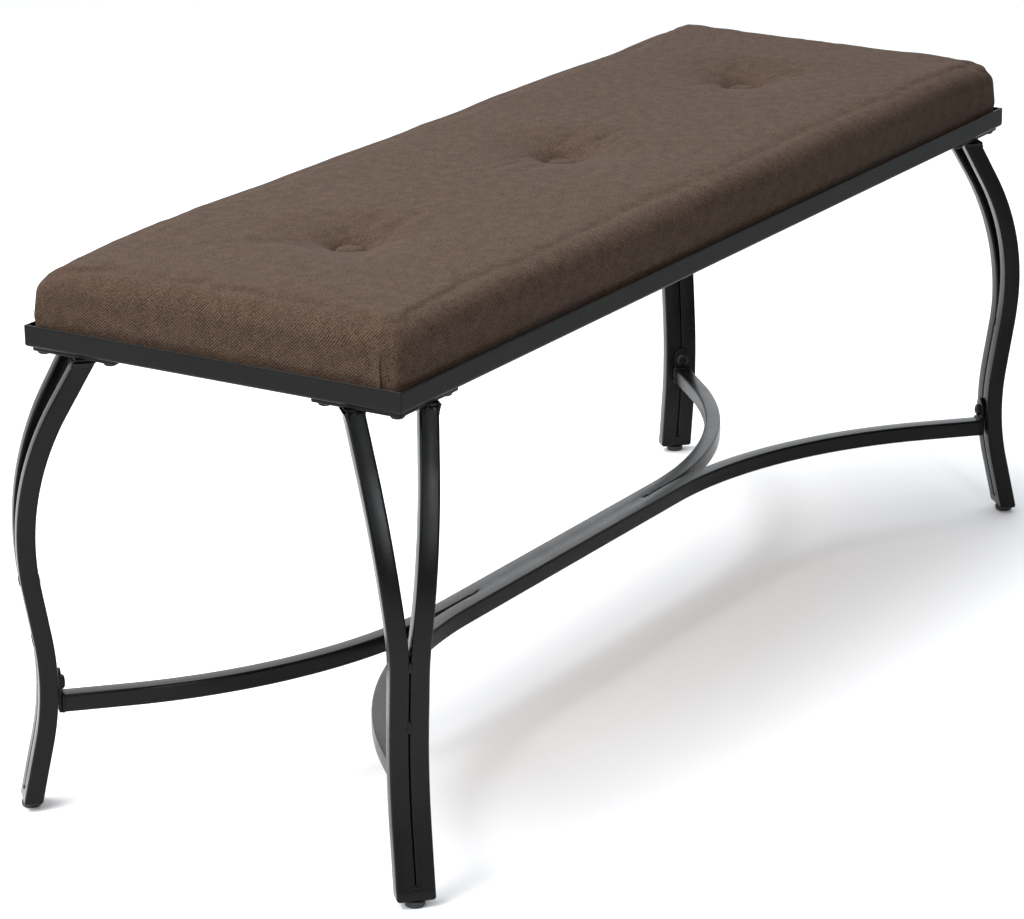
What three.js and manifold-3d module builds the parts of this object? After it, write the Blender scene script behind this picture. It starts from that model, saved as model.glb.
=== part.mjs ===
// An upholstered entryway bench: a buttoned seat pad sits in a rim of angle steel, on four legs that are
// each a pair of bent square tubes, tied together by two bowed stretchers that meet along the middle.
// Millimetres, +Z up. The origin is on the floor under the middle of the bench, +X runs along the bench
// and -Y is its front.

import * as THREE from 'three';
import * as BufferGeometryUtils from 'three/addons/utils/BufferGeometryUtils.js';
import Module from 'manifold-3d';

const wasm = await Module();
wasm.setup();

// Driving dimensions.

const gap = 0.3; // between pieces that touch on the real bench
const holeSides = 8; // the sides of a bolt's shank and of its hole, whose corners are further out
const overshoot = 1; // how far a cutter runs past the face it cuts

const rim = {
  length: 1016, depth: 345, top: 397, height: 17.5, flange: 20, wall: 2, bend: 2.8,
};
rim.bottom = rim.top - rim.height;

const tube = { side: 15, corner: 1.6, wall: 1.2 };
const pairHalf = tube.side / 2 + gap / 2; // from a leg's middle plane to the middle of either tube

const plate = { inset: 3.5, reach: 83, tip: 20, thickness: 3 };
plate.top = rim.bottom - gap;
plate.bottom = plate.top - plate.thickness;

const bolt = { shank: 3, hole: 3.5, headRadius: 5.5, headHeight: 2.8, inset: 10.5, reach: 74 };

// A leg leans in from the foot, bends back out at the knee, and bends in again under the seat.
const leg = {
  footOffset: 14.9, // how far the leg's middle line meets the floor outside the rim's corner
  footLean: 12.7, // degrees
  footRun: 57,
  kneeRadius: 240,
  kneeTurn: 21.6,
  middleRun: 42,
  shoulderRadius: 233,
  shoulderTurn: 37.8,
  topRun: 75,
  steps: 16,
  splitHeight: 199, // where the two tubes part
  splitBlend: 18, // the parting bend runs this far above and below it
  splitSlope: 0.1155,
};
leg.top = plate.bottom - gap;

const glide = { radius: 8, height: 5, edge: 2.4, stud: 3, studHole: 3.6, studLength: 17 };
const cap = { bottom: glide.height + gap, thickness: 2.7, corner: 2.2 };
leg.bottom = cap.bottom + cap.thickness + gap;

const stretcher = { top: 94, bendRadius: 400, steps: 28 };
const tab = { width: 15, thickness: 3, face: 11.2, bottom: 79, top: 114.5, boltHeight: 103 };
const tabBolt = { shank: 2.5, hole: 3, headRadius: 5.5, headHeight: 3, length: 15 };

// The seat pad: a cover of cloth around a board and a block of foam, drawn down at three buttons.
const cover = {
  inset: 4, // from the rim's outer face
  thickness: 1.2,
  bottom: rim.bottom + rim.wall + gap,
  hem: 26,
  shoulder: 25, // the radius of the pad's upper edge
  edgeTop: 445,
  crown: 3.5,
};
const board = { thickness: 12, corner: 6, twineHole: 3 };
const button = { spacing: 317, radius: 12, base: 431.2, rise: 5.4, floorHalf: 14, dimpleHalf: 45 };
const twine = { radius: 1, hole: 1.4 };
const washer = { radius: 10, thickness: 1.2 };

const halfLength = rim.length / 2;
const halfDepth = rim.depth / 2;
const diagonalOffset = halfLength - halfDepth; // |x| - |y| all along a corner's diagonal
const coverHalfLength = halfLength - cover.inset;
const coverHalfDepth = halfDepth - cover.inset;
const boardBottom = cover.bottom + cover.thickness + gap;
const boardTop = boardBottom + board.thickness;
const buttonPlaces = { left: -button.spacing, middle: 0, right: button.spacing };

const finishes = {
  blackPaint: { color: 0x1c1c1b, roughness: 0.42, metalness: 0.35 },
  blackScrew: { color: 0x161616, roughness: 0.5, metalness: 0.5 },
  glidePlastic: { color: 0x121212, roughness: 0.7, metalness: 0 },
  seatCloth: { color: 0x5b4a40, roughness: 0.95, metalness: 0 },
  foam: { color: 0xe6dfc2, roughness: 1, metalness: 0 },
  plywood: { color: 0xb08a5a, roughness: 0.8, metalness: 0 },
  twine: { color: 0xcfc7b2, roughness: 0.9, metalness: 0 },
  zinc: { color: 0xa8abad, roughness: 0.4, metalness: 0.9 },
};

// Shapes and booleans.

function toSolid(geometry) {
  const bare = geometry.clone();
  bare.deleteAttribute('normal');
  bare.deleteAttribute('uv');
  const merged = BufferGeometryUtils.mergeVertices(bare);
  const corners = merged.index.array;
  const kept = [];
  for (let i = 0; i < corners.length; i += 3) {
    const [a, b, c] = [corners[i], corners[i + 1], corners[i + 2]];
    if (a !== b && b !== c && c !== a) kept.push(a, b, c);
  }
  return new wasm.Manifold(new wasm.Mesh({
    numProp: 3,
    vertProperties: new Float32Array(merged.attributes.position.array),
    triVerts: new Uint32Array(kept),
  }));
}

function toGeometry(solid) {
  const { numProp, vertProperties, triVerts } = solid.getMesh();
  const positions = new Float32Array((vertProperties.length / numProp) * 3);
  for (let i = 0; i < positions.length / 3; i += 1) {
    for (let k = 0; k < 3; k += 1) positions[3 * i + k] = vertProperties[numProp * i + k];
  }
  const geometry = new THREE.BufferGeometry();
  geometry.setAttribute('position', new THREE.BufferAttribute(positions, 3));
  geometry.setIndex(new THREE.BufferAttribute(new Uint32Array(triVerts), 1));
  geometry.computeVertexNormals();
  return geometry;
}

function cut(geometry, cutters) {
  let solid = toSolid(geometry);
  for (const cutter of cutters) solid = solid.subtract(toSolid(cutter));
  return toGeometry(solid);
}

function keepInside(geometry, limits) {
  return toGeometry(toSolid(geometry).intersect(toSolid(limits)));
}

// A rectangle centred on the origin, with round corners.
function roundedRectangle(width, depth, radius) {
  const x = width / 2 - radius;
  const y = depth / 2 - radius;
  const shape = new THREE.Shape();
  shape.absarc(x, -y, radius, -Math.PI / 2, 0, false);
  shape.absarc(x, y, radius, 0, Math.PI / 2, false);
  shape.absarc(-x, y, radius, Math.PI / 2, Math.PI, false);
  shape.absarc(-x, -y, radius, Math.PI, 1.5 * Math.PI, false);
  return shape;
}

// A flat outline standing up from height bottom to height top.
function prism(shape, bottom, top, curveSegments = 3) {
  const geometry = new THREE.ExtrudeGeometry(shape, {
    depth: top - bottom, bevelEnabled: false, curveSegments,
  });
  return geometry.translate(0, 0, bottom);
}

// An upright round rod at [x, y].
function rod([x, y], radius, bottom, top, sides = holeSides) {
  const geometry = new THREE.CylinderGeometry(radius, radius, top - bottom, sides);
  return geometry.rotateX(Math.PI / 2).translate(x, y, (top + bottom) / 2);
}

// A round piece turned about Z from a profile of [radius, height] points.
function turned(profile, sides = 12) {
  const points = profile.map(([radius, height]) => new THREE.Vector2(radius, height));
  return new THREE.LatheGeometry(points, sides).rotateX(Math.PI / 2);
}

// A low dome on top of a disc, as [radius, height] points from its rim to its middle.
function dome(radius, base, rise, bands = 3) {
  const points = [];
  for (let i = 0; i <= bands; i += 1) {
    const angle = (Math.PI / 2) * (i / bands);
    points.push([i === bands ? 0 : radius * Math.cos(angle), base + rise * Math.sin(angle)]);
  }
  return points;
}

// Bent tubes.

// A flat path of straight runs and round bends, each a { length, turn }, turns in degrees to the left.
// at(s) gives the place a distance s along it, from the origin and first heading along +x.
function bentPath(pieces) {
  const length = pieces.reduce((sum, piece) => sum + piece.length, 0);
  function at(distance) {
    const place = new THREE.Vector2();
    let heading = 0;
    let left = distance;
    for (const piece of pieces) {
      const run = Math.min(left, piece.length);
      const turn = THREE.MathUtils.degToRad(piece.turn) * (run / piece.length);
      const chord = turn === 0 ? run : (2 * Math.sin(turn / 2) * run) / turn;
      place.x += chord * Math.cos(heading + turn / 2);
      place.y += chord * Math.sin(heading + turn / 2);
      heading += turn;
      left -= run;
      if (left <= 0) break;
    }
    return place;
  }
  return { length, at };
}

const straight = (length) => ({ length, turn: 0 });
const bend = (radius, turn) => ({ length: radius * THREE.MathUtils.degToRad(Math.abs(turn)), turn });

class TubeLine extends THREE.Curve {
  constructor(length, place) {
    super();
    this.length = length;
    this.place = place;
  }

  getPoint(t, target = new THREE.Vector3()) {
    return target.copy(this.place(t * this.length));
  }
}

// A hollow square tube along a line. The bore runs past both ends, so the tube is open.
function bentTube(line, steps) {
  const skin = (outline) => new THREE.ExtrudeGeometry(outline, {
    steps, extrudePath: line, curveSegments: 1, bevelEnabled: false,
  });
  const boreHalf = tube.side / 2 - tube.wall;
  const boreCorners = [[1, -1], [1, 1], [-1, 1], [-1, -1]];
  const bore = new THREE.Shape(boreCorners.map(([x, y]) => new THREE.Vector2(x * boreHalf, y * boreHalf)));
  return { outer: skin(roundedRectangle(tube.side, tube.side, tube.corner)), bore: skin(bore) };
}

// The leg's middle line as seen square to its own plane: offset from the rim's corner, and height.
const legPath = bentPath([
  straight(leg.footRun),
  bend(leg.kneeRadius, -leg.kneeTurn),
  straight(leg.middleRun),
  bend(leg.shoulderRadius, leg.shoulderTurn),
  straight(leg.topRun),
]);

function legPlace(distance) {
  const { x, y } = legPath.at(distance);
  const lean = THREE.MathUtils.degToRad(leg.footLean);
  return {
    offset: leg.footOffset - x * Math.sin(lean) - y * Math.cos(lean),
    height: x * Math.cos(lean) - y * Math.sin(lean),
  };
}

// How far each tube of a pair is from the leg's middle plane: together low down, then apart.
function tubeSpread(height) {
  const above = height - leg.splitHeight;
  if (above <= -leg.splitBlend) return pairHalf;
  if (above >= leg.splitBlend) return pairHalf + leg.splitSlope * above;
  return pairHalf + (leg.splitSlope * (above + leg.splitBlend) ** 2) / (4 * leg.splitBlend);
}

// One tube of a pair, in the corner's own frame. side is 1 or -1.
function legTube(side, cutters) {
  const line = new TubeLine(legPath.length, (distance) => {
    const { offset, height } = legPlace(distance);
    return new THREE.Vector3(offset, side * tubeSpread(height), height);
  });
  const { outer, bore } = bentTube(line, leg.steps);
  const slab = new THREE.BoxGeometry(300, 300, leg.top - leg.bottom);
  slab.translate(0, 0, (leg.top + leg.bottom) / 2);
  return cut(keepInside(outer, slab), [bore, ...cutters]);
}

// The bore across a leg that a horizontal rod at a height passes through, along the corner's diagonal.
function crossRod(radius, from, to, height) {
  const geometry = new THREE.CylinderGeometry(radius, radius, to - from, holeSides);
  return geometry.rotateZ(Math.PI / 2).translate((from + to) / 2, 0, height);
}

// The rim: four angle rails, mitred at the corners, that hold the pad and stand on the corner plates.

// A rail with its outer face on y = 0, its middle at x = 0 and its lower face on z = 0.
function angleRail(length) {
  const section = new THREE.Shape();
  section.moveTo(rim.bend, 0);
  section.lineTo(rim.flange, 0);
  section.lineTo(rim.flange, rim.wall);
  section.absarc(rim.bend, rim.bend, rim.bend - rim.wall, -Math.PI / 2, -Math.PI, true);
  section.lineTo(rim.wall, rim.height);
  section.lineTo(0, rim.height);
  section.absarc(rim.bend, rim.bend, rim.bend, Math.PI, 1.5 * Math.PI, false);
  const along = new THREE.Vector3(1, 0, 0);
  const inward = new THREE.Vector3(0, 1, 0);
  const up = new THREE.Vector3(0, 0, 1);
  const bar = prism(section, -length / 2, length / 2);
  bar.applyMatrix4(new THREE.Matrix4().makeBasis(inward, up, along));

  const outerEnd = length / 2 - gap / Math.SQRT2;
  const depth = rim.flange + overshoot;
  const mitre = new THREE.Shape([
    new THREE.Vector2(-outerEnd - overshoot, -overshoot),
    new THREE.Vector2(outerEnd + overshoot, -overshoot),
    new THREE.Vector2(outerEnd - depth, depth),
    new THREE.Vector2(-outerEnd + depth, depth),
  ]);
  const trimmed = keepInside(bar, prism(mitre, -overshoot, rim.height + overshoot));
  const holes = [];
  for (const end of [-1, 1]) {
    for (const fromEnd of [bolt.inset, bolt.reach]) {
      const place = [end * (length / 2 - fromEnd), bolt.inset];
      holes.push(rod(place, bolt.hole, -overshoot, rim.wall + overshoot));
    }
  }
  return cut(trimmed, holes);
}

// Corner pieces stand in their corner's own frame: its origin is under the rim's outer corner and +X
// points away from the bench along the diagonal. cornerPlace turns a place given as its distances in from
// the end rail's and the long rail's outer faces into that frame; longSide is the sign of y on the long
// rail's side.
function cornerPlace([fromEnd, fromLong], longSide = 1) {
  return [-(fromEnd + fromLong) / Math.SQRT2, (longSide * (fromEnd - fromLong)) / Math.SQRT2];
}

const boltPlaces = {
  corner: [bolt.inset, bolt.inset],
  long: [bolt.reach, bolt.inset],
  end: [bolt.inset, bolt.reach],
};

function cornerPlate() {
  const { inset, reach, tip } = plate;
  const outline = [[inset, inset], [inset, reach], [tip, reach], [reach, tip], [reach, inset]];
  const shape = new THREE.Shape(outline.map((place) => new THREE.Vector2(...cornerPlace(place))));
  const holes = Object.values(boltPlaces).map((place) => rod(
    cornerPlace(place), bolt.hole, plate.bottom - overshoot, plate.top + overshoot,
  ));
  return cut(prism(shape, plate.bottom, plate.top), holes);
}

// A bolt that goes up through a corner plate and the rim into the board, about the line x = y = 0.
const boltTip = boardBottom + 8;

function plateBolt() {
  const headTop = plate.bottom - gap;
  const head = dome(bolt.headRadius, 0, bolt.headHeight).reverse();
  const profile = head.map(([radius, rise]) => [radius, headTop - rise]);
  profile.push([bolt.shank, headTop], [bolt.shank, boltTip], [0, boltTip]);
  return turned(profile, holeSides);
}

// The foot: a cap welded across the pair's lower end, and a glide screwed up into it.
const footOffset = leg.footOffset - cap.bottom * Math.tan(THREE.MathUtils.degToRad(leg.footLean));
const glideTip = glide.height + glide.studLength;
const studHole = rod([footOffset, 0], glide.studHole, -overshoot, glideTip + overshoot);
const tabBoltHole = crossRod(tabBolt.hole, -tab.face - overshoot, tabBolt.length - tab.face, tab.boltHeight);

function footCap() {
  const outline = roundedRectangle(tube.side, 2 * pairHalf + tube.side, cap.corner);
  const slab = prism(outline, cap.bottom, cap.bottom + cap.thickness, 2);
  return cut(slab.translate(footOffset, 0, 0), [studHole]);
}

function levellingGlide() {
  const { radius, height, edge, stud } = glide;
  return turned([
    [0, 0],
    [radius - edge, 0],
    [radius - 0.3 * edge, 0.3 * edge],
    [radius, edge],
    [radius, height],
    [stud, height],
    [stud, glideTip],
    [0, glideTip],
  ]);
}

// The tab that a stretcher's end is welded to, bolted over the leg's seam.
function endTab() {
  const halfWidth = tab.width / 2;
  const outline = new THREE.Shape();
  outline.moveTo(-halfWidth, tab.bottom);
  outline.lineTo(halfWidth, tab.bottom);
  outline.absarc(0, tab.top - halfWidth, halfWidth, 0, Math.PI, false);
  const across = new THREE.Vector3(0, 1, 0);
  const up = new THREE.Vector3(0, 0, 1);
  const outward = new THREE.Vector3(1, 0, 0);
  const slab = prism(outline, -tab.face - tab.thickness, -tab.face, 8);
  slab.applyMatrix4(new THREE.Matrix4().makeBasis(across, up, outward));
  const hole = crossRod(
    tabBolt.hole, -tab.face - tab.thickness - overshoot, -tab.face + overshoot, tab.boltHeight,
  );
  return cut(slab, [hole]);
}

function tabScrew() {
  const headFoot = -tab.face - tab.thickness - gap;
  const head = dome(tabBolt.headRadius, 0, tabBolt.headHeight).reverse();
  const profile = head.map(([radius, rise]) => [radius, headFoot - rise]);
  const tip = headFoot + tabBolt.length;
  profile.push([tabBolt.shank, headFoot], [tabBolt.shank, tip], [0, tip]);
  return turned(profile).rotateY(Math.PI / 2).translate(0, 0, tab.boltHeight);
}

// A stretcher runs from corner to corner of one long side: out along each diagonal, round a bend, and
// straight along the middle beside its twin. This is the front one; the rear one is turned half round.
const quarterTurn = 45;
const bendRise = stretcher.bendRadius * (1 - Math.cos(THREE.MathUtils.degToRad(quarterTurn)));
const bendReach = stretcher.bendRadius * Math.sin(THREE.MathUtils.degToRad(quarterTurn));
const diagonalRise = halfDepth - pairHalf - bendRise;
const meetingHalf = diagonalOffset + pairHalf + bendRise - bendReach;

function stretcherTube() {
  const path = bentPath([
    straight(diagonalRise * Math.SQRT2),
    bend(stretcher.bendRadius, -quarterTurn),
    straight(2 * meetingHalf),
    bend(stretcher.bendRadius, -quarterTurn),
    straight(diagonalRise * Math.SQRT2),
  ]);
  const height = stretcher.top - tube.side / 2;
  const start = new THREE.Vector2(-halfLength, -halfDepth);
  const line = new TubeLine(path.length, (distance) => {
    const place = path.at(distance).rotateAround(new THREE.Vector2(), Math.PI / 4).add(start);
    return new THREE.Vector3(place.x, place.y, height);
  });
  const { outer, bore } = bentTube(line, stretcher.steps);
  const reach = halfLength + halfDepth - Math.SQRT2 * (tab.face + tab.thickness + gap);
  const limits = new THREE.Shape([
    new THREE.Vector2(-reach, 0),
    new THREE.Vector2(0, -reach),
    new THREE.Vector2(reach, 0),
    new THREE.Vector2(0, reach),
  ]);
  return cut(keepInside(outer, prism(limits, 0, 2 * height)), [bore]);
}

// The seat pad.

// The lines that a pad's upper surface is built on: close over its round edge and around the buttons.
function padLines(half, centres) {
  const edge = [0, 0.25, 1].map((part) => half - part * cover.shoulder);
  const around = [button.floorHalf, button.dimpleHalf];
  const lines = edge.flatMap((line) => [-line, line]);
  for (const centre of centres) {
    for (const reach of around) lines.push(centre - reach, centre + reach);
  }
  return lines.sort((a, b) => a - b);
}

function padTop(x, y) {
  const fromEdge = Math.min(coverHalfLength - Math.abs(x), coverHalfDepth - Math.abs(y));
  const short = Math.max(0, cover.shoulder - fromEdge);
  const fall = cover.shoulder - Math.sqrt(cover.shoulder ** 2 - short ** 2);
  const swell = (1 - (y / coverHalfDepth) ** 2) * (1 - (x / coverHalfLength) ** 4);
  const height = cover.edgeTop - fall + cover.crown * swell;
  const reaches = Object.values(buttonPlaces).map((place) => Math.max(Math.abs(x - place), Math.abs(y)));
  const rise = THREE.MathUtils.smoothstep(Math.min(...reaches), button.floorHalf, button.dimpleHalf);
  return THREE.MathUtils.lerp(button.base - gap, height, rise);
}

// The pad's outer form, drawn in by shrink on its sides and top and flat underneath.
function padBody(shrink, bottom) {
  const xs = padLines(coverHalfLength, Object.values(buttonPlaces));
  const ys = padLines(coverHalfDepth, [0]);
  const geometry = new THREE.BoxGeometry(1, 1, 1, xs.length - 1, ys.length - 1, 1);
  const corners = geometry.attributes.position;
  for (let i = 0; i < corners.count; i += 1) {
    const x = xs[Math.round((corners.getX(i) + 0.5) * (xs.length - 1))];
    const y = ys[Math.round((corners.getY(i) + 0.5) * (ys.length - 1))];
    const z = corners.getZ(i) > 0 ? padTop(x, y) - shrink : bottom;
    corners.setXYZ(i, x * (1 - shrink / coverHalfLength), y * (1 - shrink / coverHalfDepth), z);
  }
  return geometry;
}

function buttonRods(radius, bottom, top) {
  return Object.values(buttonPlaces).map((x) => rod([x, 0], radius, bottom, top));
}

function padCover() {
  const inner = padBody(cover.thickness, cover.bottom + cover.thickness);
  const opening = new THREE.BoxGeometry(
    2 * (coverHalfLength - cover.hem), 2 * (coverHalfDepth - cover.hem), 4 * cover.thickness,
  );
  opening.translate(0, 0, cover.bottom);
  const holes = [...boltRods(cover.bottom - overshoot, cover.bottom + cover.thickness + overshoot)];
  holes.push(...buttonRods(twine.hole, boardTop, cover.edgeTop));
  return cut(padBody(0, cover.bottom), [inner, opening, ...holes]);
}

// A rod on the line of every plate bolt, to cut its hole.
function boltRods(bottom, top) {
  const rods = [];
  for (const place of Object.values(boltPlaces)) {
    for (const endSign of [-1, 1]) {
      for (const longSign of [-1, 1]) {
        const centre = [endSign * (halfLength - place[0]), longSign * (halfDepth - place[1])];
        rods.push(rod(centre, bolt.hole, bottom, top));
      }
    }
  }
  return rods;
}

function seatBoard() {
  const inside = cover.thickness + gap;
  const outline = roundedRectangle(
    2 * (coverHalfLength - inside), 2 * (coverHalfDepth - inside), board.corner,
  );
  const holes = boltRods(boardBottom - overshoot, boltTip + overshoot);
  holes.push(...buttonRods(board.twineHole, boardBottom - overshoot, boardTop + overshoot));
  return cut(prism(outline, boardBottom, boardTop), holes);
}

function foamPad() {
  const bottom = boardTop + gap;
  return cut(padBody(cover.thickness + gap, bottom), buttonRods(twine.hole, bottom - overshoot, rim.top + 100));
}

function clothButton() {
  const { base, radius, rise } = button;
  const edge = 1.6;
  return turned([
    [0, base],
    [radius - edge, base],
    ...dome(radius, base + edge, rise - edge),
  ], 14);
}

function twineWasher() {
  const top = boardBottom - gap;
  const disc = rod([0, 0], washer.radius, top - washer.thickness, top, 12);
  return cut(disc, [rod([0, 0], twine.hole, top - 2 * washer.thickness, top + washer.thickness)]);
}

// The assembly.

function piece(name, geometry, finish, place = [0, 0]) {
  const mesh = new THREE.Mesh(geometry.clone(), new THREE.MeshStandardMaterial(finishes[finish]));
  mesh.name = name;
  mesh.position.set(place[0], place[1], 0);
  return mesh;
}

const bench = new THREE.Group();

const longRail = angleRail(rim.length);
const endRail = angleRail(rim.depth);
const rails = [
  { name: 'rim_rail_front', geometry: longRail, turns: 0, out: halfDepth },
  { name: 'rim_rail_right', geometry: endRail, turns: 1, out: halfLength },
  { name: 'rim_rail_rear', geometry: longRail, turns: 2, out: halfDepth },
  { name: 'rim_rail_left', geometry: endRail, turns: 3, out: halfLength },
];
for (const { name, geometry, turns, out } of rails) {
  const rail = piece(name, geometry, 'blackPaint');
  rail.rotation.z = (turns * Math.PI) / 2;
  rail.position.set(0, -out, rim.bottom).applyAxisAngle(new THREE.Vector3(0, 0, 1), rail.rotation.z);
  rail.position.z = rim.bottom;
  bench.add(rail);
}

const shapes = {
  plate: cornerPlate(),
  plateBolt: plateBolt(),
  tube: { 1: legTube(1, [studHole, tabBoltHole]), '-1': legTube(-1, [studHole, tabBoltHole]) },
  cap: footCap(),
  glide: levellingGlide(),
  tab: endTab(),
  tabBolt: tabScrew(),
};
const corners = [
  { name: 'front_left', x: -1, y: -1 },
  { name: 'front_right', x: 1, y: -1 },
  { name: 'rear_right', x: 1, y: 1 },
  { name: 'rear_left', x: -1, y: 1 },
];
for (const { name, x, y } of corners) {
  const corner = new THREE.Group();
  corner.position.set(x * halfLength, y * halfDepth, 0);
  corner.rotation.z = Math.atan2(y, x);
  const longSide = x * y;
  corner.add(piece(`corner_plate_${name}`, shapes.plate, 'blackPaint'));
  for (const [where, place] of Object.entries(boltPlaces)) {
    const boltName = `plate_bolt_${name}_${where}`;
    corner.add(piece(boltName, shapes.plateBolt, 'blackScrew', cornerPlace(place, longSide)));
  }
  corner.add(piece(`leg_${name}_tube_long`, shapes.tube[longSide], 'blackPaint'));
  corner.add(piece(`leg_${name}_tube_end`, shapes.tube[-longSide], 'blackPaint'));
  corner.add(piece(`foot_cap_${name}`, shapes.cap, 'blackPaint'));
  corner.add(piece(`foot_glide_${name}`, shapes.glide, 'glidePlastic', [footOffset, 0]));
  corner.add(piece(`stretcher_tab_${name}`, shapes.tab, 'blackPaint'));
  corner.add(piece(`tab_bolt_${name}`, shapes.tabBolt, 'blackScrew'));
  bench.add(corner);
}

const frontStretcher = piece('stretcher_front', stretcherTube(), 'blackPaint');
const rearStretcher = piece('stretcher_rear', frontStretcher.geometry, 'blackPaint');
rearStretcher.rotation.z = Math.PI;
bench.add(frontStretcher, rearStretcher);

bench.add(piece('seat_board', seatBoard(), 'plywood'));
bench.add(piece('foam_pad', foamPad(), 'foam'));
bench.add(piece('fabric_cover', padCover(), 'seatCloth'));
const buttonShape = clothButton();
const twineShape = rod([0, 0], twine.radius, cover.bottom, button.base - gap);
const washerShape = twineWasher();
for (const [where, x] of Object.entries(buttonPlaces)) {
  bench.add(piece(`button_${where}`, buttonShape, 'seatCloth', [x, 0]));
  bench.add(piece(`button_twine_${where}`, twineShape, 'twine', [x, 0]));
  bench.add(piece(`twine_washer_${where}`, washerShape, 'zinc', [x, 0]));
}

export default bench;
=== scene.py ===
"""An upholstered entryway bench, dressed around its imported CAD. Metres, +Z up, and -Y is its front."""
import math

import bmesh
import bpy
import numpy as np
from mathutils import Matrix, Vector, noise
from mathutils.bvhtree import BVHTree


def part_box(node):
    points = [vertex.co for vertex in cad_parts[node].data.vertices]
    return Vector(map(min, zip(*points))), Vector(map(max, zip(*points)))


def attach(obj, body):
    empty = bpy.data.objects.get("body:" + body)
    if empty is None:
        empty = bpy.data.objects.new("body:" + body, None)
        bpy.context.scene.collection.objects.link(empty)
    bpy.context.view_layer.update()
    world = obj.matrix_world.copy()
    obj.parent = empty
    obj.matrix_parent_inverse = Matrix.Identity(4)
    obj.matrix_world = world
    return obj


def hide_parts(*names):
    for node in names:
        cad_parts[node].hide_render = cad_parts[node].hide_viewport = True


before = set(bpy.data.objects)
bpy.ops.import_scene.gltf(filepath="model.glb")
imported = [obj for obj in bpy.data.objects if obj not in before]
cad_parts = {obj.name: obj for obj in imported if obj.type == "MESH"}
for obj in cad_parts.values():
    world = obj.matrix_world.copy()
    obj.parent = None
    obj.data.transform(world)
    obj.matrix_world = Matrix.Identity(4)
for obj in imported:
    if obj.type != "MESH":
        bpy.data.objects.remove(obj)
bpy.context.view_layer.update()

# Sizes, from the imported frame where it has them.

MM = 0.001
X, Y, Z = (np.array(axis, float) for axis in ((1, 0, 0), (0, 1, 0), (0, 0, 1)))

front_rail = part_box("rim_rail_front")
left_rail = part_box("rim_rail_left")
HALF_LENGTH = -left_rail[0].x
HALF_DEPTH = -front_rail[0].y
RIM_TOP = front_rail[1].z
RIM_BOTTOM = front_rail[0].z
RIM_WALL = 2 * MM
RIM_FLANGE = 20 * MM
RIM_BEND = 2.8 * MM
RIM_EDGE = 0.8 * MM  # the rounding of a rail's free edge

PLATE_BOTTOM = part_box("corner_plate_front_left")[0].z
PLATE_TOP = RIM_BOTTOM
PLATE_INSET, PLATE_REACH, PLATE_TIP = 3.5 * MM, 83 * MM, 20 * MM
PLATE_SCREWS = [(10.5 * MM, 10.5 * MM), (74 * MM, 10.5 * MM), (10.5 * MM, 74 * MM)]
SCREW_NODES = ["corner", "long", "end"]
PLATE_ROUND = 3 * MM

TUBE = 15 * MM
TUBE_CORNER = 2 * MM
FACE_BOW = 0.2 * MM  # rolled tube's faces stand out a little in the middle
PAIR_HALF = TUBE / 2 + 0.15 * MM  # from a leg's middle plane to the middle of either tube

# A leg's middle line, as in the CAD: it leans in, bends back out at the knee, and in again under the seat.
FOOT_OFFSET = 14.9 * MM
FOOT_LEAN = math.radians(12.7)
KNEE_TURN = math.radians(21.6)
SHOULDER_TURN = math.radians(37.8)
LEG_RUNS = [
    (57 * MM, 0),
    (240 * MM * KNEE_TURN, -KNEE_TURN),
    (42 * MM, 0),
    (233 * MM * SHOULDER_TURN, SHOULDER_TURN),
    (75 * MM, 0),
]
SPLIT_HEIGHT, SPLIT_BLEND, SPLIT_SLOPE = 199 * MM, 18 * MM, 0.1155
SEAM_FOOT = 14 * MM  # the seam between a leg's tubes ends here, above the floor
FOOT_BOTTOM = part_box("foot_cap_front_left")[0].z

STRETCHER_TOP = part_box("stretcher_front")[1].z
STRETCHER_BEND = 400 * MM
TAB_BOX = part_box("stretcher_tab_front_left")
TAB_WIDTH, TAB_THICKNESS, TAB_FACE = 15 * MM, 3 * MM, 11.2 * MM
TAB_BOLT_HEIGHT = 103 * MM
GLIDE_HEIGHT = 5 * MM

PAD_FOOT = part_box("fabric_cover")[0].z
BOARD_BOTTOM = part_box("seat_board")[0].z
BUTTON_SIDES = ["left", "middle", "right"]
BUTTON_BOXES = [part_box(f"button_{side}") for side in BUTTON_SIDES]
BUTTON_X = [(box[0].x + box[1].x) / 2 for box in BUTTON_BOXES]
BUTTON_BASE, BUTTON_TOP = (end.z for end in BUTTON_BOXES[1])
BUTTON_RADIUS = 12 * MM

CORNERS = {"front_left": (-1, -1), "front_right": (1, -1), "rear_right": (1, 1), "rear_left": (-1, 1)}


# Mesh making.

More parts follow.
